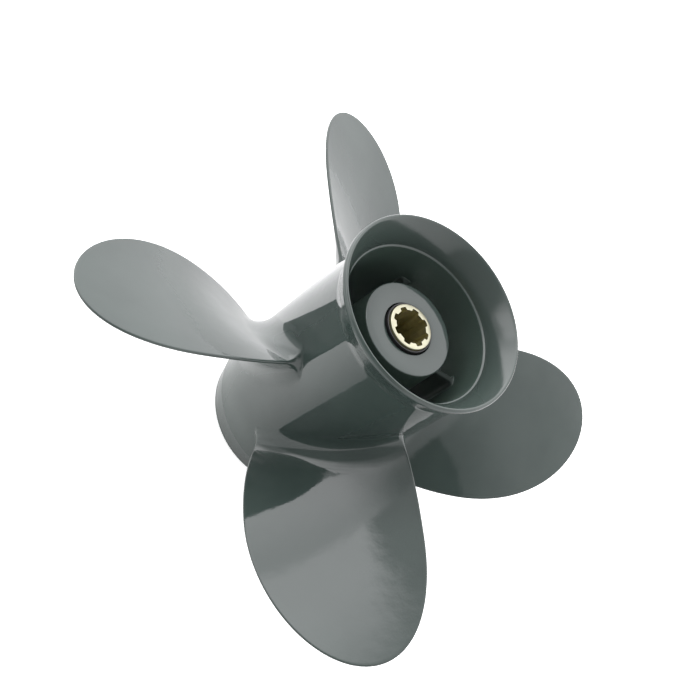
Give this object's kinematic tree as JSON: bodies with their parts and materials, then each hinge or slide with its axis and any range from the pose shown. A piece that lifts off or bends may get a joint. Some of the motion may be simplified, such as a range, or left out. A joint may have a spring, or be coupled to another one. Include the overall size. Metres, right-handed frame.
{
  "type": "outboard motor propeller",
  "caption": "Right-hand boat propeller for an outboard motor: broad raked blades on a tubular hub that lets exhaust out through a flared aft rim, with a splined brass sleeve in rubber.",
  "frame": {"origin": "on the shaft axis, at the level of the flat ring at the front end of the outer hub, which the part stands on", "axes": "+Z along the shaft axis towards the aft end with the flared rim; +X through the middle of the root of blade_1"},
  "size_m": [0.2318, 0.2318, 0.11],
  "materials": {
    "paint": "gloss dark grey enamel over an aluminium casting",
    "rubber": "matt black",
    "brass": "machined, slightly dull"
  },
  "bodies": {
    "root": {"outer_hub": "paint", "blade_1": "paint", "blade_2": "paint", "blade_3": "paint", "blade_4": "paint", "inner_hub": "paint", "rib_1": "paint", "rib_2": "paint", "rib_3": "paint", "rib_4": "paint", "rubber_bush": "rubber", "splined_sleeve": "brass"}
  },
  "joints": []
}
